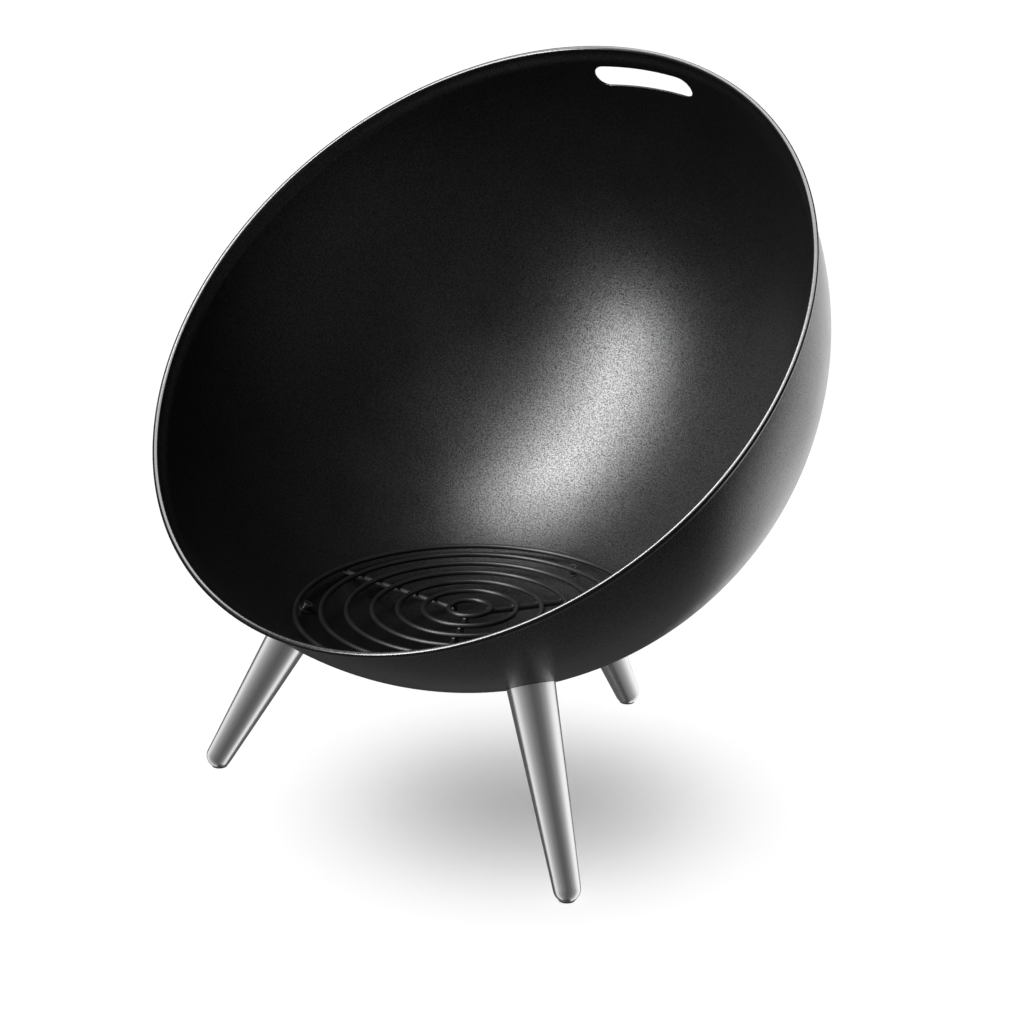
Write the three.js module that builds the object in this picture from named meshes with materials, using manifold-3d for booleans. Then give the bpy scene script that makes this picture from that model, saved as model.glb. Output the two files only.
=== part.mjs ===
// A tilted fire bowl: a near-hemispherical steel bowl with a rolled rim and a hand slot, tipped
// forward on three tapered tube legs, with a loose wire grate lying in the bottom.
// Millimetres, +Z up. The bowl opens towards -Y and upwards, and is symmetric about the plane X = 0.
// The origin is on the floor, under the middle of the whole object.

import * as THREE from 'three';
import { mergeVertices } from 'three/addons/utils/BufferGeometryUtils.js';
import Module from 'manifold-3d';

const wasm = await Module();
wasm.setup();

// ---- Driving dimensions ----

const GAP = 0.3; // clearance left between solids that touch
const DEGREE = Math.PI / 180;

// Bowl
const SPHERE_RADIUS = 327; // outside of the shell
const SHEET = 2; // shell thickness with its enamel
const SPHERE_HEIGHT = 453; // sphere's centre above the floor
const TILT = 42.1 * DEGREE; // opening's axis, forward from vertical
const RIM_SETBACK = 3.8; // rim plane behind the sphere's centre, along the opening's axis
const RIM_RADIUS = 334.3; // outside of the rolled lip
const LIP_RADIUS = 2.8;
const LIP_START = -120 * DEGREE; // where the roll's underside meets the flare
const FLARE_DEPTH = 12; // below the rim plane, where the sheet leaves the sphere
const SLOT_LENGTH = 113.5;
const SLOT_HEIGHT = 24.5;
const SLOT_DEPTH = 30.6; // slot's middle below the rim plane

// Grate
const RING_COUNT = 7;
const RING_HEIGHT = 182.7; // rings' centre plane above the floor
const FIRST_RING_RADIUS = 19.8;
const RING_PITCH = 24.05;
const RING_WIRE_RADIUS = 2.5;
const BAR_RADIUS = 3;
const BAR_DIRECTIONS = { back: 58, left: 178, front: 298 }; // degrees about +Z

// Legs and their fasteners
const LEG_DIRECTIONS = { left: 210, right: 330, back: 90 }; // degrees about +Z
const FOOT_CIRCLE_RADIUS = 256; // where the leg axes meet the floor
const LEG_TOP_RADIUS = 22.4;
const LEG_END_RADIUS = 12.5;
const LEG_WALL = 1.5;
const LEG_FLAT_RADIUS = 7.7; // flat cut on the leg's round end
const LEG_END_WALL = 2; // solid metal above the round end
const INSERT_LENGTH = 18;
const BOLT_RADIUS = 3; // M6 socket screw
const BOLT_LENGTH = 22;
const BOLT_HEAD_RADIUS = 5;
const BOLT_HEAD_HEIGHT = 6;
const SOCKET_RADIUS = 2.9; // across the socket's corners
const SOCKET_DEPTH = 3;
const WASHER_RADIUS = 7;
const WASHER_THICKNESS = 1.2;
const GLIDE_RADIUS = 7.4;
const GLIDE_THICKNESS = 1.2;
const GLIDE_PEG_RADIUS = 3.5;
const GLIDE_PEG_LENGTH = 6;

// Roundness of the faceted solids
const BOWL_SIDES = 72;
const BOWL_STEPS = 15; // from the pole to the rim
const LIP_STEPS = 8;
const SLOT_STEPS = 8; // around each end of the slot
const END_STEPS = 5; // over a leg's round end
const RING_SIDES = 8;
const BAR_SIDES = 12;
const BAR_END_STEPS = 3;
const ROUND_SIDES = 24;
const HOLE_SIDES = 16;

// ---- Values that follow from them ----

const INNER_RADIUS = SPHERE_RADIUS - SHEET;
const LIP_CENTRE = RIM_RADIUS - LIP_RADIUS;
// The shell's flat facets reach this far inwards of the true sphere, along and around the bowl.
const FACET_DEPTH = INNER_RADIUS
  * (2 - Math.cos((45 / BOWL_STEPS) * DEGREE) - Math.cos((180 / BOWL_SIDES) * DEGREE));
const SEAT_RADIUS = INNER_RADIUS - FACET_DEPTH - GAP; // where inside hardware may start
const LEG_LEAN = Math.atan(FOOT_CIRCLE_RADIUS / SPHERE_HEIGHT);
const LEG_TOP = SPHERE_RADIUS + GAP; // distances along a leg are from the sphere's centre
const LEG_CUT_HEIGHT = GLIDE_THICKNESS + GAP;
const LEG_END_HEIGHT = LEG_CUT_HEIGHT + Math.sqrt(LEG_END_RADIUS ** 2 - LEG_FLAT_RADIUS ** 2);
const LEG_END = (SPHERE_HEIGHT - LEG_END_HEIGHT) / Math.cos(LEG_LEAN);
const LIP_FRONT = LIP_CENTRE * Math.cos(TILT) + LIP_RADIUS - RIM_SETBACK * Math.sin(TILT);
const SPHERE_Y = (LIP_FRONT - SPHERE_RADIUS) / 2;
const LATHE_TO_OPENING = Math.PI / 2 + TILT; // turn about X that points +Y out of the opening

// ---- Materials ----

function material(color, roughness, metalness) {
  return new THREE.MeshStandardMaterial({ color, roughness, metalness });
}

const finishes = {
  enamel: () => material(0x151515, 0.42, 0),
  wire: () => material(0x1b1b1b, 0.45, 0),
  brushedSteel: () => material(0xb4b4b2, 0.3, 1),
  zincSteel: () => material(0x9a9c9e, 0.4, 1),
  blackSteel: () => material(0x202020, 0.4, 0.6),
  glide: () => material(0x0c0c0c, 0.6, 0),
};

// ---- Helpers ----

function solidOf(geometry) {
  const bare = geometry.clone();
  bare.deleteAttribute('normal');
  bare.deleteAttribute('uv');
  const merged = mergeVertices(bare, 1e-4);
  const vertProperties = new Float32Array(merged.attributes.position.array);
  const triVerts = new Uint32Array(merged.index.array);
  return new wasm.Manifold(new wasm.Mesh({ numProp: 3, vertProperties, triVerts }));
}

function geometryOf(solid) {
  const { vertProperties, triVerts } = solid.getMesh();
  const geometry = new THREE.BufferGeometry();
  geometry.setAttribute('position', new THREE.BufferAttribute(vertProperties, 3));
  geometry.setIndex(new THREE.BufferAttribute(triVerts, 1));
  geometry.computeVertexNormals();
  return geometry;
}

function cut(geometry, cutters) {
  const body = cutters.reduce((rest, cutter) => rest.subtract(solidOf(cutter)), solidOf(geometry));
  return geometryOf(body);
}

function mesh(name, geometry, finish) {
  const result = new THREE.Mesh(geometry, finish());
  result.name = name;
  return result;
}

// Points of an arc about (centreX, centreY), with angles from the +X direction.
function arc(centreX, centreY, radius, from, to, steps) {
  return Array.from({ length: steps + 1 }, (_, i) => {
    const angle = from + ((to - from) * i) / steps;
    return new THREE.Vector2(
      centreX + radius * Math.cos(angle),
      centreY + radius * Math.sin(angle),
    );
  });
}

// A lathe profile point that sits exactly on the axis.
function onAxis(y) {
  return new THREE.Vector2(0, y);
}

function turned(points, sides = ROUND_SIDES) {
  return new THREE.LatheGeometry(points, sides);
}

// A ring with a straight bore, whose outside may taper from bottom to top.
function collar(boreRadius, bottom, bottomRadius, top, topRadius) {
  return turned([
    new THREE.Vector2(boreRadius, bottom),
    new THREE.Vector2(bottomRadius, bottom),
    new THREE.Vector2(topRadius, top),
    new THREE.Vector2(boreRadius, top),
    new THREE.Vector2(boreRadius, bottom),
  ]);
}

// Turns a piece built along -Y into a leg's direction, seen from the sphere's centre.
function alongLeg(geometry, direction) {
  const outwards = new THREE.Vector3(
    Math.sin(LEG_LEAN) * Math.cos(direction),
    Math.sin(LEG_LEAN) * Math.sin(direction),
    -Math.cos(LEG_LEAN),
  );
  const down = new THREE.Vector3(0, -1, 0);
  return geometry.applyQuaternion(new THREE.Quaternion().setFromUnitVectors(down, outwards));
}

// ---- Bowl ----

// The slot's cutter: a long hole with round ends, pushed straight back through the shell.
function slotCutter() {
  const end = SLOT_HEIGHT / 2;
  const straight = SLOT_LENGTH / 2 - end;
  const outline = new THREE.Shape();
  outline.absarc(straight, 0, end, -Math.PI / 2, Math.PI / 2, false);
  outline.absarc(-straight, 0, end, Math.PI / 2, (3 * Math.PI) / 2, false);
  const inside = SPHERE_RADIUS * 0.9;
  const depth = RIM_RADIUS - inside + LIP_RADIUS;
  const settings = { depth, bevelEnabled: false, curveSegments: SLOT_STEPS };
  const geometry = new THREE.ExtrudeGeometry(outline, settings);
  geometry.translate(0, -(RIM_SETBACK + SLOT_DEPTH), inside);
  geometry.rotateY(Math.PI);
  return geometry.rotateX(LATHE_TO_OPENING);
}

function boltHoleCutter(direction) {
  const radius = BOLT_RADIUS + GAP;
  const hole = new THREE.CylinderGeometry(radius, radius, 6 * SHEET, HOLE_SIDES);
  hole.translate(0, -INNER_RADIUS, 0);
  return alongLeg(hole, direction);
}

function bowl() {
  // Just under the rim the sheet leaves the sphere and flares out to the rolled lip.
  const flare = -(RIM_SETBACK + FLARE_DEPTH);
  const pole = -Math.PI / 2;
  const outside = arc(0, 0, SPHERE_RADIUS, pole, Math.asin(flare / SPHERE_RADIUS), BOWL_STEPS);
  const inside = arc(0, 0, INNER_RADIUS, Math.asin(flare / INNER_RADIUS), pole, BOWL_STEPS);
  const lip = arc(LIP_CENTRE, -RIM_SETBACK, LIP_RADIUS, LIP_START, Math.PI, LIP_STEPS);
  const profile = [
    onAxis(-SPHERE_RADIUS),
    ...outside.slice(1),
    ...lip,
    ...inside.slice(0, -1),
    onAxis(-INNER_RADIUS),
  ];
  const shell = turned(profile, BOWL_SIDES).rotateX(LATHE_TO_OPENING);
  const holes = Object.values(LEG_DIRECTIONS).map((degrees) => boltHoleCutter(degrees * DEGREE));
  return mesh('bowl', cut(shell, [slotCutter(), ...holes]), finishes.enamel);
}

// ---- Legs ----

// A tapered tube with a round end, cut level just above the floor and drilled for the glide's peg.
function legTube(name, direction) {
  const tube = alongLeg(turned([
    onAxis(-LEG_END - LEG_END_RADIUS),
    ...arc(0, -LEG_END, LEG_END_RADIUS, -Math.PI / 2, 0, END_STEPS).slice(1),
    new THREE.Vector2(LEG_TOP_RADIUS, -LEG_TOP),
    new THREE.Vector2(LEG_TOP_RADIUS - LEG_WALL, -LEG_TOP),
    new THREE.Vector2(LEG_END_RADIUS - LEG_WALL, -LEG_END + LEG_END_WALL),
    onAxis(-LEG_END + LEG_END_WALL),
  ]), direction);
  const foot = glidePlace(direction);
  const block = 4 * LEG_END_RADIUS;
  const floorBlock = new THREE.BoxGeometry(block, block, block);
  floorBlock.translate(foot.x, foot.y, foot.z + LEG_CUT_HEIGHT - block / 2);
  const holeRadius = GLIDE_PEG_RADIUS + GAP;
  const holeLength = 2 * (GLIDE_PEG_LENGTH + GAP);
  const pegHole = new THREE.CylinderGeometry(holeRadius, holeRadius, holeLength, HOLE_SIDES);
  pegHole.rotateX(Math.PI / 2);
  pegHole.translate(foot.x, foot.y, foot.z + GLIDE_THICKNESS);
  return mesh(name, cut(tube, [floorBlock, pegHole]), finishes.brushedSteel);
}

// The point of the floor under a leg's round end, seen from the sphere's centre.
function glidePlace(direction) {
  const reach = LEG_END * Math.sin(LEG_LEAN);
  return new THREE.Vector3(reach * Math.cos(direction), reach * Math.sin(direction), -SPHERE_HEIGHT);
}

// A plug in the top of the tube, with the thread for the bolt.
function legInsert(name, direction) {
  const taper = (LEG_TOP_RADIUS - LEG_END_RADIUS) / (LEG_END - LEG_TOP);
  const topRadius = LEG_TOP_RADIUS - LEG_WALL - GAP;
  const bottomRadius = topRadius - taper * INSERT_LENGTH;
  const bottom = -LEG_TOP - INSERT_LENGTH;
  const plug = collar(BOLT_RADIUS + GAP, bottom, bottomRadius, -LEG_TOP, topRadius);
  return mesh(name, alongLeg(plug, direction), finishes.zincSteel);
}

function legWasher(name, direction) {
  const bottom = -SEAT_RADIUS;
  const top = bottom + WASHER_THICKNESS;
  const washer = collar(BOLT_RADIUS + GAP, bottom, WASHER_RADIUS, top, WASHER_RADIUS);
  return mesh(name, alongLeg(washer, direction), finishes.blackSteel);
}

// A socket screw: its head stands inside the bowl and its shank runs down into the insert.
function legBolt(name, direction) {
  const underHead = -SEAT_RADIUS + WASHER_THICKNESS + GAP;
  const headTop = underHead + BOLT_HEAD_HEIGHT;
  const screw = turned([
    onAxis(underHead - BOLT_LENGTH),
    new THREE.Vector2(BOLT_RADIUS, underHead - BOLT_LENGTH),
    new THREE.Vector2(BOLT_RADIUS, underHead),
    new THREE.Vector2(BOLT_HEAD_RADIUS, underHead),
    new THREE.Vector2(BOLT_HEAD_RADIUS, headTop),
    onAxis(headTop),
  ]);
  const socket = new THREE.CylinderGeometry(SOCKET_RADIUS, SOCKET_RADIUS, 2 * SOCKET_DEPTH, 6);
  socket.translate(0, headTop, 0);
  return mesh(name, alongLeg(cut(screw, [socket]), direction), finishes.blackSteel);
}

// A flat disc on the floor with a peg pressed up into the leg's end.
function glide(name, direction) {
  const disc = turned([
    onAxis(0),
    new THREE.Vector2(GLIDE_RADIUS, 0),
    new THREE.Vector2(GLIDE_RADIUS, GLIDE_THICKNESS),
    new THREE.Vector2(GLIDE_PEG_RADIUS, GLIDE_THICKNESS),
    new THREE.Vector2(GLIDE_PEG_RADIUS, GLIDE_THICKNESS + GLIDE_PEG_LENGTH - GAP),
    onAxis(GLIDE_THICKNESS + GLIDE_PEG_LENGTH - GAP),
  ]).rotateX(Math.PI / 2);
  const result = mesh(name, disc, finishes.glide);
  result.position.copy(glidePlace(direction));
  return result;
}

function leg(side, degrees) {
  const direction = degrees * DEGREE;
  const group = new THREE.Group();
  group.add(
    legTube(`leg_${side}`, direction),
    legInsert(`leg_insert_${side}`, direction),
    legBolt(`leg_bolt_${side}`, direction),
    legWasher(`leg_washer_${side}`, direction),
    glide(`glide_${side}`, direction),
  );
  return group;
}

// ---- Grate ----

function grateRing(number) {
  const radius = FIRST_RING_RADIUS + (number - 1) * RING_PITCH;
  const around = 4 * (RING_COUNT + number);
  const wire = new THREE.TorusGeometry(radius, RING_WIRE_RADIUS, RING_SIDES, around);
  const ring = mesh(`grate_ring_${number}`, wire, finishes.wire);
  ring.position.z = RING_HEIGHT - SPHERE_HEIGHT;
  return ring;
}

// A straight rod under the rings, with round ends: the outer end rests on the shell.
function grateBar(side, degrees) {
  const height = RING_HEIGHT - RING_WIRE_RADIUS - GAP - BAR_RADIUS - SPHERE_HEIGHT;
  const contact = SEAT_RADIUS - BAR_RADIUS;
  const reach = Math.sqrt(contact ** 2 - height ** 2);
  const start = FIRST_RING_RADIUS;
  const rod = turned([
    onAxis(start - BAR_RADIUS),
    ...arc(0, start, BAR_RADIUS, -Math.PI / 2, 0, BAR_END_STEPS).slice(1),
    ...arc(0, reach, BAR_RADIUS, 0, Math.PI / 2, BAR_END_STEPS).slice(0, -1),
    onAxis(reach + BAR_RADIUS),
  ], BAR_SIDES);
  rod.rotateZ(-Math.PI / 2);
  const bar = mesh(`grate_bar_${side}`, rod, finishes.wire);
  bar.rotation.z = degrees * DEGREE;
  bar.position.z = height;
  return bar;
}

function grate() {
  const group = new THREE.Group();
  for (let number = 1; number <= RING_COUNT; number += 1) {
    group.add(grateRing(number));
  }
  for (const [side, degrees] of Object.entries(BAR_DIRECTIONS)) {
    group.add(grateBar(side, degrees));
  }
  return group;
}

// ---- Assembly ----

// Everything hangs from the sphere's centre, which every leg axis passes through.
const fireBowl = new THREE.Group();
fireBowl.position.set(0, SPHERE_Y, SPHERE_HEIGHT);
fireBowl.add(bowl(), grate());
for (const [side, degrees] of Object.entries(LEG_DIRECTIONS)) {
  fireBowl.add(leg(side, degrees));
}

export default fireBowl;
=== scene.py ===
"""A tilted fire bowl on three legs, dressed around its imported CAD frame. Metres, +Z up."""

import math

import bmesh
import bpy
from mathutils import Matrix, Vector


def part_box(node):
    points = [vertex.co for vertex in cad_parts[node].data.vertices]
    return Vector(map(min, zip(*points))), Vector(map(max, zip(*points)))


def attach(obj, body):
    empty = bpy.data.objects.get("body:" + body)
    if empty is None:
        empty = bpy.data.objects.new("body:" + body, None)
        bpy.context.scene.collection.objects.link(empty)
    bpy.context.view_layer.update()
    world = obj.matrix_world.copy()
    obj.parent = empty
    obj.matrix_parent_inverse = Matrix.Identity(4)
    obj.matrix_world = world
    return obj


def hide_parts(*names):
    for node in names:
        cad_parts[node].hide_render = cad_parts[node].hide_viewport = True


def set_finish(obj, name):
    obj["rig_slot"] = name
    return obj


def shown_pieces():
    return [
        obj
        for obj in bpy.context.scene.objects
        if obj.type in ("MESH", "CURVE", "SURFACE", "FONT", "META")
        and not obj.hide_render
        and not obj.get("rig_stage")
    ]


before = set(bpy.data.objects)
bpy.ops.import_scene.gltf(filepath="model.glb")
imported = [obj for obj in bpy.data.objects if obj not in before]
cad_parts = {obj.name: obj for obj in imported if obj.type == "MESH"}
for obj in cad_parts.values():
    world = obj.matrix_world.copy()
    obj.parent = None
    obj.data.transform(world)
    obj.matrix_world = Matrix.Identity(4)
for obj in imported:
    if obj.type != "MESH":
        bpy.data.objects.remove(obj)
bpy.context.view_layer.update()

MM = 0.001
STAND = "bowl_and_legs"
GRATE = "grate"
LEG_SIDES = {"left": 210, "right": 330, "back": 90}  # degrees about +Z
BAR_SIDES = {"back": 58, "left": 178, "front": 298}
RING_COUNT = 7

# ---- Sizes, as in the CAD model ----

SPHERE_RADIUS = 327 * MM  # outside of the shell
SHEET = 2 * MM
TILT = math.radians(42.1)
RIM_SETBACK = 3.8 * MM
RIM_RADIUS = 334.3 * MM
LIP_RADIUS = 2.8 * MM
LIP_START = -120  # degrees, where the roll's underside meets the flare
FLARE_DEPTH = 12 * MM
SLOT_LENGTH = 113.5 * MM
SLOT_HEIGHT = 24.5 * MM
SLOT_DEPTH = 30.6 * MM
SEAT_PLANE = 325.95 * MM  # flat pressed under each leg, from the sphere's centre
SEAT_BLEND = 0.15 * MM  # how softly the flat runs out into the sphere
SEAT_REACH = 0.98  # cosine of the angle from a leg's axis that a flat stays within
BOLT_HOLE_RADIUS = 3.3 * MM
RING_WIRE_RADIUS = 2.5 * MM
BAR_RADIUS = 3 * MM
BAR_CLEARANCE = 1.05 * MM  # between a bar's end and the shell
WELD_HALF_SIZE = (3.1 * MM, 3.1 * MM, 1.7 * MM)
WELD_LIFT = 0.1 * MM  # of a weld's middle above the top of its bar
FOOT_CIRCLE_RADIUS = 256 * MM
LEG_TOP_RADIUS = 22.4 * MM
LEG_END_RADIUS = 12.5 * MM
LEG_WALL = 1.5 * MM
LEG_FLAT_RADIUS = 7.7 * MM
GLIDE_THICKNESS = 1.2 * MM
GLIDE_RADIUS = 7.4 * MM
PEG_RADIUS = 3.5 * MM
PEG_LENGTH = 5.7 * MM
WASHER_RADIUS = 7 * MM
WASHER_THICKNESS = 1.2 * MM
INSERT_GAP = 0.3 * MM  # above the insert and between it and the leg's wall

# ---- Places worked out from the frame ----

bowl_low, bowl_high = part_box("bowl")
ring_low, ring_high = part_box("grate_ring_1")
SPHERE_HEIGHT = round(bowl_low.z + SPHERE_RADIUS, 3)
CENTRE = Vector((0, (ring_low.y + ring_high.y) / 2, SPHERE_HEIGHT))
RING_HEIGHT = (ring_low.z + ring_high.z) / 2
LEAN = math.atan(FOOT_CIRCLE_RADIUS / SPHERE_HEIGHT)
LEG_END_HEIGHT = GLIDE_THICKNESS + math.sqrt(LEG_END_RADIUS**2 - LEG_FLAT_RADIUS**2)
LEG_END = (SPHERE_HEIGHT - LEG_END_HEIGHT) / math.cos(LEAN)

# The opening's own axes: across, uphill along the rim, and out of the opening.
ACROSS = Vector((1, 0, 0))
UPHILL = Vector((0, math.cos(TILT), math.sin(TILT)))
OUTWARD = Vector((0, -math.sin(TILT), math.cos(TILT)))


# ---- Camera, lights and stage ----

CAMERA_AZIMUTH = math.radians(39.36)
CAMERA_PITCH = math.radians(20.08)
CAMERA_FROM_CENTRE = Vector((1.5118, -1.7806, 0.6797))
CAMERA_LENS = 94.07
STAGE_REACH = 14
ROOM_RADIANCE = 0.05

# The unseen disc that shades the floor under the bowl.
SHADE_RADIUS = 0.16
SHADE_PLACE = (0.068, -0.036, 0.125)

# Azimuth in degrees and radiance around a steel leg. 0 is in front of the bowl, 90 is at +X.
SURROUND = (
    (-180, 0.1),
    (-62, 0.08),
    (-55, 1.2),
    (-47, 1.3),
    (-17, 0.55),
    (10, 0.25),
    (40, 0.09),
    (70, 0.15),
    (95, 0.38),
    (110, 0.65),
    (127, 1.2),
    (145, 1.45),
    (168, 1.3),
    (176, 0.1),
)
SURROUND_TURN = {"left": -30, "right": 0, "back": 25}  # degrees, for each leg
SURROUND_RADIUS = {"left": 2.2, "right": 2.3, "back": 2.4}  # apart, so that none hides another
SURROUND_BOTTOM = -7.5
SURROUND_TOP = 3


def make_camera():
    camera = bpy.data.objects.new("camera", bpy.data.cameras.new("camera"))
    bpy.context.scene.collection.objects.link(camera)
    camera.data.sensor_width = 36
    camera.data.lens = CAMERA_LENS
    camera.location = CENTRE + CAMERA_FROM_CENTRE
    camera.rotation_euler = (math.pi / 2 - CAMERA_PITCH, 0, CAMERA_AZIMUTH)
    bpy.context.scene.camera = camera


def direction(azimuth, elevation):
    """The unit vector towards a view azimuth (0 is -Y, 90 is +X) and elevation, in degrees."""
    a, e = math.radians(azimuth), math.radians(elevation)
    return Vector((math.sin(a) * math.cos(e), -math.cos(a) * math.cos(e), math.sin(e)))


def softbox(name, azimuth, elevation, distance, width, height, radiance):
    """An area light facing the bowl. radiance is what a mirror in the scene would show."""
    data = bpy.data.lights.new(name, "AREA")
    data.shape = "RECTANGLE"
    data.size, data.size_y = width, height
    data.energy = radiance * math.pi * width * height
    light = bpy.data.objects.new(name, data)
    bpy.context.scene.collection.objects.link(light)
    away = direction(azimuth, elevation)
    light.location = CENTRE + away * distance
    light.rotation_euler = away.to_track_quat("Z", "Y").to_euler()
    light.visible_camera = False
    return light


def overhead(name, strength, angle):
    """A very wide sun, straight down and as soft as a white ceiling. angle is its spread."""
    data = bpy.data.lights.new(name, "SUN")
    data.energy = strength
    data.angle = math.radians(angle)
    light = bpy.data.objects.new(name, data)
    bpy.context.scene.collection.objects.link(light)
    return light


def make_world():
    bpy.context.scene.view_settings.view_transform = "Standard"
    world = bpy.data.worlds.new("studio")
    world.use_nodes = True
    background = world.node_tree.nodes["Background"]
    background.inputs["Color"].default_value = (1, 1, 1, 1)
    background.inputs["Strength"].default_value = ROOM_RADIANCE
    bpy.context.scene.world = world


def add_prop(mesh, hidden_from):
    """An object that isn't part of the fire bowl. hidden_from names the rays that miss it."""
    prop = bpy.data.objects.new(mesh.name, mesh)
    bpy.context.scene.collection.objects.link(prop)
    for ray in hidden_from:
        setattr(prop, f"visible_{ray}", False)
    prop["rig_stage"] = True
    return prop


def bare_material(name):
    """A node material with nothing in it but its output."""
    material = bpy.data.materials.new(name)
    material.use_nodes = True
    material.node_tree.nodes.clear()
    return material, add_node(material, "ShaderNodeOutputMaterial")


def make_floor():
    reach = STAGE_REACH
    mesh = bpy.data.meshes.new("floor")
    corners = [(-reach, -reach, 0), (reach, -reach, 0), (reach, reach, 0), (-reach, reach, 0)]
    mesh.from_pydata(corners, [], [(0, 1, 2, 3)])
    mesh.materials.append(principled("floor_white", (0.8, 0.8, 0.8), 0.9, specular=0))
    return add_prop(mesh, ["glossy"])


def make_backdrop():
    """A white dome that only the camera sees, so that every view has a pale background."""
    bm = bmesh.new()
    bmesh.ops.create_uvsphere(bm, u_segments=48, v_segments=24, radius=STAGE_REACH * 0.95)
    mesh = bpy.data.meshes.new("backdrop")
    bm.to_mesh(mesh)
    bm.free()
    glow, output = bare_material("backdrop_white")
    join(glow, add_node(glow, "ShaderNodeEmission"), "Emission", output, "Surface")
    mesh.materials.append(glow)
    add_prop(mesh, ["diffuse", "glossy", "transmission", "volume_scatter", "shadow"])


def collect(name, objects):
    group = bpy.data.collections.new(name)
    for each in objects:
        group.objects.link(each)
    return group


def surround_glow():
    """Clear as well as glowing, so that one leg's surround doesn't hide the others."""
    glow, output = bare_material("surround_glow")
    place = add_node(glow, "ShaderNodeTexCoord")
    around = add_node(glow, "ShaderNodeTexGradient", gradient_type="RADIAL")
    ramp = add_node(glow, "ShaderNodeValToRGB")
    brightest = max(radiance for _, radiance in SURROUND)
    emission = add_node(glow, "ShaderNodeEmission", Strength=brightest)
    clear = add_node(glow, "ShaderNodeBsdfTransparent")
    both = add_node(glow, "ShaderNodeAddShader")
    stops = ramp.color_ramp.elements
    while len(stops) < len(SURROUND):
        stops.new(1)
    for stop, (azimuth, radiance) in zip(stops, SURROUND):
        stop.position = azimuth / 360 + 0.5
        stop.color = (*[radiance / brightest] * 3, 1)
    join(glow, place, "Object", around, "Vector")
    join(glow, around, "Fac", ramp, "Fac")
    join(glow, ramp, "Color", emission, "Color")
    join(glow, emission, "Emission", both, 0)
    join(glow, clear, "BSDF", both, 1)
    join(glow, both, "Shader", output, "Surface")
    return glow


def make_surround(side, glow):
    """A ring of light and dark around one steel leg, which gives it its soft stripes."""
    radius = SURROUND_RADIUS[side]
    mesh = lathe(f"surround_{side}", [(radius, SURROUND_BOTTOM), (radius, SURROUND_TOP)], 96)
    mesh.materials.append(glow)
    surround = add_prop(mesh, ["camera", "diffuse", "shadow"])
    # A quarter turn back makes the radial gradient follow the azimuth.
    surround.rotation_euler.z = math.radians(SURROUND_TURN[side] - 90)
    return surround


def make_shade():
    """An unseen disc under the bowl that gathers its soft shadow."""
    mesh = lathe("shade", [(0, 0), (SHADE_RADIUS, 0)], 48)
    shade = add_prop(mesh, ["camera", "diffuse", "glossy", "transmission"])
    shade.location = SHADE_PLACE
    return shade


def make_lights(floor):
    """Each light reaches one group of pieces, and each but the legs' surrounds is blocked by one
    group.
    """
    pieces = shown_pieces()
    named = {p.name: p for p in pieces}
    steel = [p for p in pieces if p["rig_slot"] == "brushed_steel"]
    glides = [p for p in pieces if p["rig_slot"] == "glide_plastic"]
    shade = make_shade()
    groups = {
        "all": collect("all_pieces", pieces),
        "black": collect("black_pieces", [p for p in pieces if p not in steel]),
        "lip": collect("lip", [named["rolled_lip"]]),
        "floor": collect("white_floor", [floor]),
        "shade": collect("shade", [shade, *glides]),
        "glides": collect("glides", glides),
    }
    lights = [
        ("floor", "shade", overhead("ceiling", 2.35, 100)),
        ("floor", "glides", overhead("floor_fill", 1.6, 120)),
        ("black", "all", softbox("key", -21, 42, 2.6, 0.62, 3.9, 42)),
        ("black", "all", softbox("back_glow", 175, -20, 2.6, 2.6, 1.8, 1.8)),
        ("black", "all", softbox("floor_glow", 40, -88, 1.5, 3.0, 3.0, 0.12)),
        ("lip", "all", softbox("top", 0, 90, 2.6, 4.5, 4.5, 9)),
    ]
    glow = surround_glow()
    for side in LEG_SIDES:
        groups[side] = collect(f"leg_{side}", [named[f"steel_leg_{side}"]])
        lights.append((side, None, make_surround(side, glow)))
    for lit, blocker, light in lights:
        light.light_linking.receiver_collection = groups[lit]
        if blocker:
            light.light_linking.blocker_collection = groups[blocker]


# ---- Materials ----


def principled(name, color, roughness, metallic=0.0, specular=0.5):
    material = bpy.data.materials.new(name)
    material.use_nodes = True
    shader = material.node_tree.nodes["Principled BSDF"]
    shader.inputs["Base Color"].default_value = (*color, 1)
    shader.inputs["Roughness"].default_value = roughness
    shader.inputs["Metallic"].default_value = metallic
    shader.inputs["Specular IOR Level"].default_value = specular
    return material


def add_node(material, kind, **values):
    node = material.node_tree.nodes.new(kind)
    for key, value in values.items():
        if key in node.inputs:
            node.inputs[key].default_value = value
        else:
            setattr(node, key, value)
    return node


def join(material, source, socket, target, name):
    material.node_tree.links.new(source.outputs[socket], target.inputs[name])


def noise(material, scale, detail=2.0, stretch=(1, 1, 1), coordinates="Object"):
    """Noise in the piece's own coordinates. scale is in features per metre."""
    place = add_node(material, "ShaderNodeTexCoord")
    mapping = add_node(material, "ShaderNodeMapping")
    mapping.inputs["Scale"].default_value = stretch
    texture = add_node(material, "ShaderNodeTexNoise", Scale=scale, Detail=detail)
    join(material, place, coordinates, mapping, "Vector")
    join(material, mapping, "Vector", texture, "Vector")
    return texture


def bump(material, texture, distance):
    """A bump map on the shader. distance is its height in metres."""
    shader = material.node_tree.nodes["Principled BSDF"]
    node = add_node(material, "ShaderNodeBump", Strength=1.0, Distance=distance)
    join(material, texture, "Fac", node, "Height")
    join(material, node, "Normal", shader, "Normal")


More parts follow.
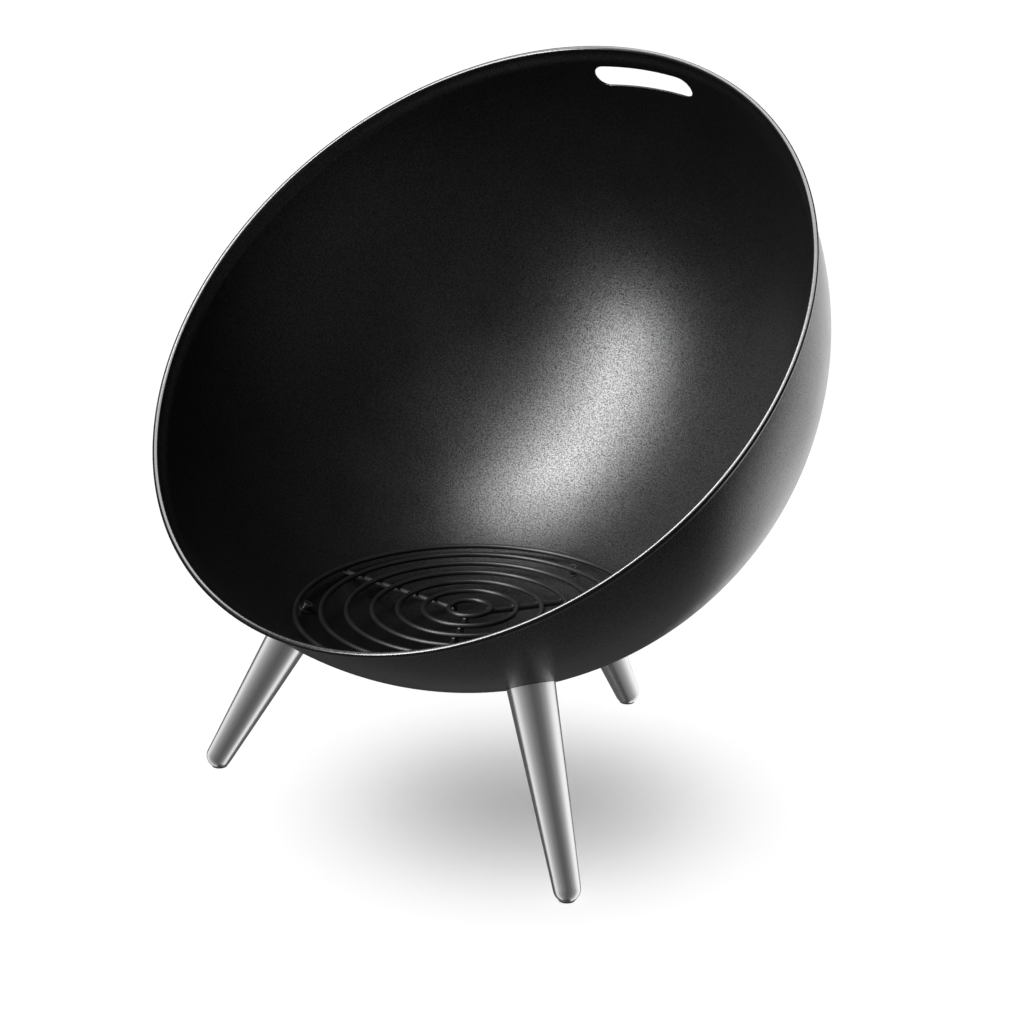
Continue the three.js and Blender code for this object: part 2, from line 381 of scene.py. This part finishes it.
def vary(material, texture, socket, low, high):
    """Lets a texture move one of the shader's values between low and high."""
    shader = material.node_tree.nodes["Principled BSDF"]
    spread = add_node(material, "ShaderNodeMapRange")
    spread.inputs["From Min"].default_value = 0.3
    spread.inputs["From Max"].default_value = 0.7
    spread.inputs["To Min"].default_value = low
    spread.inputs["To Max"].default_value = high
    join(material, texture, "Fac", spread, "Value")
    join(material, spread, "Result", shader, socket)


def enamel():
    material = principled("black_enamel", (0.0015, 0.0015, 0.0016), 0.42)
    bump(material, noise(material, 900, detail=1), 0.00018)
    vary(material, noise(material, 9, detail=3), "Roughness", 0.31, 0.38)
    vary(material, noise(material, 750, detail=1), "Specular IOR Level", 0.2, 0.8)
    return material


def lip_enamel():
    """The enamel pulls smooth and glossier where it runs over the rolled lip."""
    material = principled("black_enamel_lip", (0.0015, 0.0015, 0.0016), 0.22)
    bump(material, noise(material, 200), 0.00005)
    return material


def wire_coat():
    material = principled("black_wire", (0.003, 0.003, 0.003), 0.43, specular=0.35)
    bump(material, noise(material, 700, detail=2), 0.00008)
    vary(material, noise(material, 40), "Roughness", 0.38, 0.48)
    return material


def brushed_steel():
    material = principled("brushed_steel", (0.62, 0.62, 0.62), 0.26, metallic=1.0)
    shader = material.node_tree.nodes["Principled BSDF"]
    shader.inputs["Anisotropic"].default_value = 0.5
    tangent = add_node(material, "ShaderNodeTangent", direction_type="UV_MAP")
    join(material, tangent, "Tangent", shader, "Tangent")
    grain = noise(material, 1600, detail=2, stretch=(0.015, 1, 1), coordinates="UV")
    bump(material, grain, 0.000004)
    vary(material, grain, "Roughness", 0.23, 0.28)
    return material


def plated_steel():
    material = principled("plated_steel", (0.5, 0.51, 0.53), 0.35, metallic=1.0)
    vary(material, noise(material, 300), "Roughness", 0.3, 0.45)
    return material


def black_steel():
    material = principled("black_steel", (0.01, 0.01, 0.0105), 0.3)
    vary(material, noise(material, 400), "Roughness", 0.26, 0.4)
    return material


def glide_plastic():
    material = principled("glide_plastic", (0.01, 0.01, 0.01), 0.55)
    bump(material, noise(material, 1500), 0.00004)
    return material


# ---- Mesh helpers ----


def piece(name, mesh, material, body, slot, *replaced, matrix=None):
    mesh.materials.append(material)
    mesh.polygons.foreach_set("use_smooth", [True] * len(mesh.polygons))
    result = bpy.data.objects.new(name, mesh)
    bpy.context.scene.collection.objects.link(result)
    if matrix is not None:
        result.matrix_world = matrix
    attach(result, body)
    if replaced:
        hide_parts(*replaced)
    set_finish(result, slot)
    return result


def arc(centre_r, centre_z, radius, start, end, steps):
    """Points (r, z) of an arc; angles in degrees from the +r direction."""
    points = []
    for i in range(steps + 1):
        angle = math.radians(start + (end - start) * i / steps)
        points.append((centre_r + radius * math.cos(angle), centre_z + radius * math.sin(angle)))
    return points


def lathe(name, profile, sides, closed=False):
    """A mesh turned about Z from (r, z) points. A point with r = 0 becomes one vertex."""
    vertices, rows = [], []
    for r, z in profile:
        if r < 1e-9:
            rows.append([len(vertices)] * sides)
            vertices.append((0, 0, z))
            continue
        rows.append(list(range(len(vertices), len(vertices) + sides)))
        for k in range(sides):
            angle = 2 * math.pi * k / sides
            vertices.append((r * math.cos(angle), r * math.sin(angle), z))
    faces = []
    pairs = list(zip(rows, rows[1:]))
    if closed:
        pairs.append((rows[-1], rows[0]))
    for low, high in pairs:
        for k in range(sides):
            nxt = (k + 1) % sides
            corner = [low[k], low[nxt], high[nxt], high[k]]
            face = [v for i, v in enumerate(corner) if v != corner[i - 1]]
            if len(face) > 2:
                faces.append(face)
    mesh = bpy.data.meshes.new(name)
    mesh.from_pydata(vertices, [], faces)
    mesh.update()
    return mesh


def sharpen(mesh, angle):
    """Keeps edges steeper than angle (degrees) crisp under smooth shading."""
    mesh.polygons.foreach_set("use_smooth", [True] * len(mesh.polygons))
    mesh.set_sharp_from_angle(angle=math.radians(angle))


def leg_direction(degrees):
    """From the sphere's centre down a leg, for the leg's direction about +Z."""
    a = math.radians(degrees)
    return Vector((math.sin(LEAN) * math.cos(a), math.sin(LEAN) * math.sin(a), -math.cos(LEAN)))


def place_along_leg(degrees):
    """Puts +Z along a leg from its foot to the sphere's centre, with the origin at that centre."""
    up = -leg_direction(degrees)
    return Matrix.Translation(CENTRE) @ up.to_track_quat("Z", "Y").to_matrix().to_4x4()


# ---- Bowl ----

BOWL_SIDES = 360
SLOT_COLUMNS = 12  # grid columns each side of the slot's middle
SLOT_ROWS = 10
SLOT_MARGIN = 5.5 * MM  # shell around the slot that is meshed in loops
SLOT_LOOPS = 5
EDGE_STEPS = 6  # round edge through the sheet
POLE_ROWS = 84
RIM_ROWS = 1
FLARE_STEPS = 6
ROLL_STEPS = 22


def shell_point(phi, theta, radius):
    """A point of the bowl: phi from uphill towards +X, theta from the pole behind the opening."""
    ring = radius * math.sin(theta)
    return (
        ring * math.sin(phi) * ACROSS
        + ring * math.cos(phi) * UPHILL
        - radius * math.cos(theta) * OUTWARD
    )


def seat(point):
    """Presses the flat leg seats into the shell, keeping its thickness."""
    radius = point.length
    unit = point / radius
    depth = SPHERE_RADIUS - radius
    for degrees in LEG_SIDES.values():
        cosine = unit.dot(leg_direction(degrees))
        if cosine > SEAT_REACH:
            flat = SEAT_PLANE / cosine
            blend = 0.5 * (SPHERE_RADIUS - flat)
            soft = math.hypot(blend, SEAT_BLEND)
            outer = 0.5 * (SPHERE_RADIUS + flat) - soft
            radius = min(SPHERE_RADIUS, outer) - depth
    return unit * radius


def flat_to_angles(across, height):
    """Angles of the shell point at a distance across and a height along the opening's axis."""
    ring = math.sqrt(SPHERE_RADIUS**2 - height**2)
    return math.asin(across / ring), math.acos(-height / SPHERE_RADIUS)


def slot_edge(across, height, middle):
    """The point of the slot's outline that faces a point outside it, and the way out from it."""
    end = SLOT_HEIGHT / 2
    straight = SLOT_LENGTH / 2 - end
    foot = max(-straight, min(straight, across))
    away = Vector((across - foot, height - middle)).normalized()
    return Vector((foot, middle)) + away * end, away


def flare_row(side_radius, lip_point, steps):
    """Section points (r, height) that leave the sphere and lean out to the lip, ends excluded."""
    low = -(RIM_SETBACK + FLARE_DEPTH)
    start = Vector((math.sqrt(side_radius**2 - low**2), low))
    points = []
    for i in range(1, steps):
        t = i / steps
        ease = t * t * (3 - 2 * t)
        r = start.x + (lip_point[0] - start.x) * ease
        points.append((r, start.y + (lip_point[1] - start.y) * t))
    return points


def bowl_mesh():
    lip_centre = RIM_RADIUS - LIP_RADIUS
    inner_radius = SPHERE_RADIUS - SHEET
    middle = -(RIM_SETBACK + SLOT_DEPTH)
    block_low = middle - SLOT_HEIGHT / 2 - SLOT_MARGIN
    block_high = middle + SLOT_HEIGHT / 2 + SLOT_MARGIN
    flare = -(RIM_SETBACK + FLARE_DEPTH)

    def spread(low, high, steps):
        return [low + (high - low) * i / steps for i in range(1, steps + 1)]

    theta_low = math.acos(-block_low / SPHERE_RADIUS)
    theta_high = math.acos(-block_high / SPHERE_RADIUS)
    theta_flare = math.acos(-flare / SPHERE_RADIUS)
    common = spread(0, theta_low, POLE_ROWS) + spread(theta_low, theta_high, SLOT_ROWS)
    thetas = common + spread(theta_high, theta_flare, RIM_ROWS)

    vertices, faces = [], []

    def add(point):
        vertices.append(CENTRE + point)
        return len(vertices) - 1

    def add_row(theta, radius):
        step = 2 * math.pi / BOWL_SIDES
        return [add(seat(shell_point(k * step, theta, radius))) for k in range(BOWL_SIDES)]

    def bridge(low, high, flip, skip=()):
        for k in range(BOWL_SIDES):
            if k in skip:
                continue
            nxt = (k + 1) % BOWL_SIDES
            quad = (low[k], low[nxt], high[nxt], high[k])
            faces.append(quad[::-1] if flip else quad)

    gap = [k % BOWL_SIDES for k in range(-SLOT_COLUMNS, SLOT_COLUMNS)]
    surfaces = {}
    for side, radius in (("outer", SPHERE_RADIUS), ("inner", inner_radius)):
        flip = side == "outer"
        pole = add(seat(shell_point(0, 0, radius)))
        rows = [add_row(theta, radius) for theta in thetas]
        for k in range(BOWL_SIDES):
            triangle = (pole, rows[0][(k + 1) % BOWL_SIDES], rows[0][k])
            faces.append(triangle[::-1] if flip else triangle)
        for j in range(len(rows) - 1):
            in_block = POLE_ROWS - 1 <= j < POLE_ROWS - 1 + SLOT_ROWS
            bridge(rows[j], rows[j + 1], flip, gap if in_block else ())
        surfaces[side] = rows

    # The flare and the rolled lip, from the outside over the top to the inside.
    lip = arc(lip_centre, -RIM_SETBACK, LIP_RADIUS, LIP_START, 180, ROLL_STEPS)
    rise = flare_row(SPHERE_RADIUS, lip[0], FLARE_STEPS)
    fall = flare_row(inner_radius, lip[-1], FLARE_STEPS)[::-1]
    last = surfaces["outer"][-1]
    for r, height in rise + lip + fall:
        row = []
        for k in range(BOWL_SIDES):
            phi = 2 * math.pi * k / BOWL_SIDES
            flat = r * math.sin(phi) * ACROSS + r * math.cos(phi) * UPHILL
            row.append(add(flat + height * OUTWARD))
        bridge(last, row, True)
        last = row
    bridge(last, surfaces["inner"][-1], True)

    # The slot: loops from the grid in to its edge, then round the sheet's edge.
    def border(rows):
        first, top = POLE_ROWS - 1, POLE_ROWS - 1 + SLOT_ROWS
        columns = range(-SLOT_COLUMNS, SLOT_COLUMNS + 1)
        path = [(first, k) for k in columns]
        path += [(j, SLOT_COLUMNS) for j in range(first + 1, top + 1)]
        path += [(top, k) for k in reversed(columns)][1:]
        path += [(j, -SLOT_COLUMNS) for j in range(top - 1, first, -1)]
        return path, [rows[j][k % BOWL_SIDES] for j, k in path]

    def facing(j, k):
        """Across and height of a border point, measured on the outside."""
        theta = common[j]
        phi = 2 * math.pi * k / BOWL_SIDES
        across = SPHERE_RADIUS * math.sin(theta) * math.sin(phi)
        return across, -SPHERE_RADIUS * math.cos(theta)

    def close_loop(low, high, flip):
        count = len(low)
        for i in range(count):
            nxt = (i + 1) % count
            quad = (low[i], low[nxt], high[nxt], high[i])
            faces.append(quad[::-1] if flip else quad)

    edge = SHEET / 2
    path, _ = border(surfaces["outer"])
    edge_points = [slot_edge(*facing(j, k), middle) for j, k in path]
    rims = {}
    for side, radius in (("outer", SPHERE_RADIUS), ("inner", inner_radius)):
        _, last = border(surfaces[side])
        flip = side == "outer"
        for loop in range(1, SLOT_LOOPS + 1):
            t = 1 - (loop / SLOT_LOOPS) ** 0.8
            row = []
            for (j, k), (point, away) in zip(path, edge_points):
                start = point + away * edge
                spot = start + (Vector(facing(j, k)) - start) * t
                phi, theta = flat_to_angles(spot.x, spot.y)
                row.append(add(shell_point(phi, theta, radius)))
            close_loop(last, row, flip)
            last = row
        rims[side] = last
    last = rims["outer"]
    for i in range(1, EDGE_STEPS):
        angle = math.pi * i / EDGE_STEPS
        row = []
        for point, away in edge_points:
            spot = point + away * edge * (1 - math.sin(angle))
            phi, theta = flat_to_angles(spot.x, spot.y)
            depth = edge * (1 - math.cos(angle))
            row.append(add(shell_point(phi, theta, SPHERE_RADIUS - depth)))
        close_loop(last, row, True)
        last = row
    close_loop(last, rims["inner"], True)

    mesh = bpy.data.meshes.new("enamelled_bowl")
    mesh.from_pydata(vertices, [], faces)
    mesh.update()
    return mesh


def bolt_hole_cutter():
    """One object with a short rod through the shell for each leg's bolt."""
    half = 10 * MM
    rod = [(0, -half), (BOLT_HOLE_RADIUS, -half), (BOLT_HOLE_RADIUS, half), (0, half)]
    bm = bmesh.new()
    for degrees in LEG_SIDES.values():
        hole = lathe("bolt_hole", rod, 32)
        hole.transform(place_along_leg(degrees) @ Matrix.Translation((0, 0, -SEAT_PLANE)))
        bm.from_mesh(hole)
    mesh = bpy.data.meshes.new("bolt_holes")
    bm.to_mesh(mesh)
    bm.free()
    cutter = bpy.data.objects.new("bolt_holes", mesh)
    bpy.context.scene.collection.objects.link(cutter)
    return cutter


def is_lip(face):
    """Whether a face lies on the rolled lip's round section, or within it."""
    spot = face.calc_center_median() - CENTRE
    height = spot.dot(OUTWARD)
    radius = (spot - height * OUTWARD).length
    return math.hypot(radius - RIM_RADIUS + LIP_RADIUS, height + RIM_SETBACK) < LIP_RADIUS * 1.01


def keep_faces(source, target, wanted):
    """Copies the faces of one mesh that are wanted into another, or back into the same one."""
    bm = bmesh.new()
    bm.from_mesh(source)
    spare = [face for face in bm.faces if not wanted(face)]
    bmesh.ops.delete(bm, geom=spare, context="FACES")
    bm.to_mesh(target)
    bm.free()


def make_bowl(material, lip_material):
    """The bowl, with its rolled lip as a piece of its own so that it can have its own light."""
    bowl = piece("enamelled_bowl", bowl_mesh(), material, STAND, "black_enamel", "bowl")
    cutter = bolt_hole_cutter()
    modifier = bowl.modifiers.new("bolt_holes", "BOOLEAN")
    modifier.operation = "DIFFERENCE"
    modifier.solver = "EXACT"
    modifier.object = cutter
    bake_modifiers(bowl)
    bpy.data.objects.remove(cutter)
    lip = bpy.data.meshes.new("rolled_lip")
    keep_faces(bowl.data, lip, is_lip)
    keep_faces(bowl.data, bowl.data, lambda face: not is_lip(face))
    piece("rolled_lip", lip, lip_material, STAND, "black_enamel")


def bake_modifiers(target):
    graph = bpy.context.evaluated_depsgraph_get()
    baked = bpy.data.meshes.new_from_object(target.evaluated_get(graph))
    target.modifiers.clear()
    target.data = baked


# ---- Legs and their fasteners ----


def leg_mesh(name, degrees):
    top = -SEAT_PLANE
    end = -LEG_END
    profile = arc(0, end, LEG_END_RADIUS, -90, 0, 18)
    profile[0] = (0, end - LEG_END_RADIUS)
    profile += [
        (LEG_TOP_RADIUS - 0.2 * MM, top - 0.3 * MM),
        (LEG_TOP_RADIUS - 0.5 * MM, top),
        (LEG_TOP_RADIUS - LEG_WALL, top),
        (LEG_END_RADIUS - LEG_WALL, end + 2 * MM),
        (0, end + 2 * MM),
    ]
    mesh = lathe(name, profile, 96)
    place = place_along_leg(degrees)
    bm = bmesh.new()
    bm.from_mesh(mesh)
    bm.transform(place)
    parts = bm.verts[:] + bm.edges[:] + bm.faces[:]
    cut = bmesh.ops.bisect_plane(
        bm, geom=parts, plane_co=(0, 0, GLIDE_THICKNESS), plane_no=(0, 0, -1), clear_outer=True
    )
    rim = [e for e in cut["geom_cut"] if isinstance(e, bmesh.types.BMEdge)]
    bmesh.ops.contextual_create(bm, geom=rim)
    bmesh.ops.recalc_face_normals(bm, faces=bm.faces)
    bm.transform(place.inverted())
    bm.to_mesh(mesh)
    bm.free()
    wrap(mesh, (LEG_TOP_RADIUS + LEG_END_RADIUS) / 2)
    mesh.transform(place)
    sharpen(mesh, 35)
    return mesh


def wrap(mesh, radius):
    """A UV map in metres: along the mesh's Z axis, and round it at a radius."""
    layer = mesh.uv_layers.new(name="wrap")
    for face in mesh.polygons:
        middle = math.atan2(face.center.y, face.center.x)
        for loop in face.loop_indices:
            spot = mesh.vertices[mesh.loops[loop].vertex_index].co
            turn = math.atan2(spot.y, spot.x) - middle
            turn -= 2 * math.pi * round(turn / (2 * math.pi))
            layer.data[loop].uv = (spot.z, (middle + turn) * radius)


def glide_place(degrees):
    foot = CENTRE + leg_direction(degrees) * LEG_END
    return Matrix.Translation((foot.x, foot.y, 0))


def hexagon_socket(bm, radius, top, depth):
    """Sinks a six-sided socket into the flat top of a screw head."""
    ring_low, ring_high = [], []
    for i in range(6):
        a = math.radians(60 * i)
        x, y = radius * math.cos(a), radius * math.sin(a)
        ring_high.append(bm.verts.new((x, y, top)))
        ring_low.append(bm.verts.new((x, y, top - depth)))
    for i in range(6):
        nxt = (i + 1) % 6
        bm.faces.new((ring_high[nxt], ring_high[i], ring_low[i], ring_low[nxt]))
    bm.faces.new(ring_low)
    return ring_high


def bolt_mesh(name):
    """A socket screw about Z, with its head's underside at z = 0."""
    shank, length = 3 * MM, 22 * MM
    head, height, edge = 5 * MM, 6 * MM, 0.5 * MM
    socket = 2.9 * MM
    profile = [(0, -length), (shank - edge, -length), (shank, -length + edge), (shank, 0)]
    profile += [(head - edge / 2, 0), (head, edge / 2)]
    profile += arc(head - edge, height - edge, edge, 0, 90, 4)
    profile += [(socket + edge, height)]
    mesh = lathe(name, profile, 48)
    bm = bmesh.new()
    bm.from_mesh(mesh)
    outer = [e for e in bm.edges if e.is_boundary]
    inner = hexagon_socket(bm, socket, height, 3 * MM)
    inner_edges = [bm.edges.get((inner[i], inner[(i + 1) % 6])) for i in range(6)]
    bmesh.ops.bridge_loops(bm, edges=outer + inner_edges)
    bmesh.ops.recalc_face_normals(bm, faces=bm.faces)
    bm.to_mesh(mesh)
    bm.free()
    sharpen(mesh, 30)
    return mesh


def washer_mesh(name):
    edge = 0.2 * MM
    radius, hole, top = WASHER_RADIUS, BOLT_HOLE_RADIUS, WASHER_THICKNESS
    profile = [(hole, 0), (radius - edge, 0), (radius, edge), (radius, top - edge)]
    profile += [(radius - edge, top), (hole, top)]
    mesh = lathe(name, profile, 64, closed=True)
    sharpen(mesh, 30)
    return mesh


def insert_mesh(name):
    """The threaded plug in a leg's top end, with its top at z = 0."""
    bore, length, edge = BOLT_HOLE_RADIUS, 18 * MM, 0.4 * MM
    top = LEG_TOP_RADIUS - LEG_WALL - INSERT_GAP
    taper = (LEG_TOP_RADIUS - LEG_END_RADIUS) / (LEG_END - SEAT_PLANE)
    bottom = top - taper * length
    profile = [(bore, -length), (bottom - edge, -length), (bottom, -length + edge)]
    profile += [(top, -edge), (top - edge, 0), (bore + edge, 0), (bore, -edge)]
    mesh = lathe(name, profile, 64, closed=True)
    sharpen(mesh, 30)
    return mesh


def glide_mesh(name):
    edge = 0.25 * MM
    profile = [(0, 0), (GLIDE_RADIUS - edge, 0), (GLIDE_RADIUS, edge)]
    profile += [(GLIDE_RADIUS, GLIDE_THICKNESS - 0.02 * MM), (PEG_RADIUS, GLIDE_THICKNESS)]
    profile += [(PEG_RADIUS, GLIDE_THICKNESS + PEG_LENGTH), (0, GLIDE_THICKNESS + PEG_LENGTH)]
    mesh = lathe(name, profile, 64)
    sharpen(mesh, 30)
    return mesh


def make_leg(side, degrees, finishes):
    mesh = leg_mesh(f"steel_leg_{side}", degrees)
    piece(mesh.name, mesh, finishes["steel"], STAND, "brushed_steel", f"leg_{side}")
    place = place_along_leg(degrees)

    def at(distance):
        return place @ Matrix.Translation((0, 0, -distance))

    inside = SEAT_PLANE - SHEET
    washer = washer_mesh(f"bolt_washer_{side}")
    piece(washer.name, washer, finishes["black_steel"], STAND, "black_steel",
          f"leg_washer_{side}", matrix=at(inside))
    bolt = bolt_mesh(f"socket_screw_{side}")
    piece(bolt.name, bolt, finishes["black_steel"], STAND, "black_steel",
          f"leg_bolt_{side}", matrix=at(inside - WASHER_THICKNESS))
    insert = insert_mesh(f"threaded_insert_{side}")
    piece(insert.name, insert, finishes["plated"], STAND, "plated_steel",
          f"leg_insert_{side}", matrix=at(SEAT_PLANE + INSERT_GAP))
    foot = glide_mesh(f"floor_glide_{side}")
    piece(foot.name, foot, finishes["glide"], STAND, "glide_plastic",
          f"glide_{side}", matrix=glide_place(degrees))


# ---- Grate ----


def ring_radius(number):
    low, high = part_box(f"grate_ring_{number}")
    return (high.x - low.x) / 2 - RING_WIRE_RADIUS


def ring_mesh(name, radius):
    sides = 96 + 24 * round(radius / (24 * MM))
    return lathe(name, arc(radius, 0, RING_WIRE_RADIUS, 0, 360, 16)[:-1], sides, closed=True)


def bar_mesh(name, start, reach):
    profile = arc(0, start, BAR_RADIUS, -90, 0, 6) + arc(0, reach, BAR_RADIUS, 0, 90, 6)
    profile[0] = (0, start - BAR_RADIUS)
    profile[-1] = (0, reach + BAR_RADIUS)
    return lathe(name, profile, 24)


def weld_mesh(name, size):
    bm = bmesh.new()
    bmesh.ops.create_icosphere(bm, subdivisions=3, radius=1)
    bmesh.ops.scale(bm, vec=size, verts=bm.verts)
    mesh = bpy.data.meshes.new(name)
    bm.to_mesh(mesh)
    bm.free()
    return mesh


def make_grate(material):
    middle = Vector((0, CENTRE.y, RING_HEIGHT))
    radii = {number: ring_radius(number) for number in range(1, RING_COUNT + 1)}
    for number, radius in radii.items():
        mesh = ring_mesh(f"wire_ring_{number}", radius)
        piece(mesh.name, mesh, material, GRATE, "black_wire", f"grate_ring_{number}",
              matrix=Matrix.Translation(middle))
    bar_low, bar_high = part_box("grate_bar_left")
    bar_height = (bar_low.z + bar_high.z) / 2
    contact = SPHERE_RADIUS - SHEET - BAR_RADIUS - BAR_CLEARANCE
    reach = math.sqrt(contact**2 - (SPHERE_HEIGHT - bar_height) ** 2)
    for side, degrees in BAR_SIDES.items():
        turn = Matrix.Rotation(math.radians(degrees), 4, "Z") @ Matrix.Rotation(math.pi / 2, 4, "Y")
        place = Matrix.Translation((0, CENTRE.y, bar_height)) @ turn
        mesh = bar_mesh(f"wire_bar_{side}", radii[1], reach)
        piece(mesh.name, mesh, material, GRATE, "black_wire", f"grate_bar_{side}", matrix=place)
        bm = bmesh.new()
        for radius in radii.values():
            weld = weld_mesh("weld", WELD_HALF_SIZE)
            weld.transform(Matrix.Translation((radius, 0, 0)))
            bm.from_mesh(weld)
        mesh = bpy.data.meshes.new(f"grate_welds_{side}")
        bm.to_mesh(mesh)
        bm.free()
        height = bar_height + BAR_RADIUS + WELD_LIFT
        place = Matrix.Translation((0, CENTRE.y, height))
        place = place @ Matrix.Rotation(math.radians(degrees), 4, "Z")
        piece(mesh.name, mesh, material, GRATE, "black_wire", matrix=place)


# ---- Assembly ----


def main():
    make_camera()
    make_world()
    make_bowl(enamel(), lip_enamel())
    finishes = {
        "steel": brushed_steel(),
        "plated": plated_steel(),
        "black_steel": black_steel(),
        "glide": glide_plastic(),
    }
    for side, degrees in LEG_SIDES.items():
        make_leg(side, degrees, finishes)
    make_grate(wire_coat())
    make_backdrop()
    make_lights(make_floor())


main()
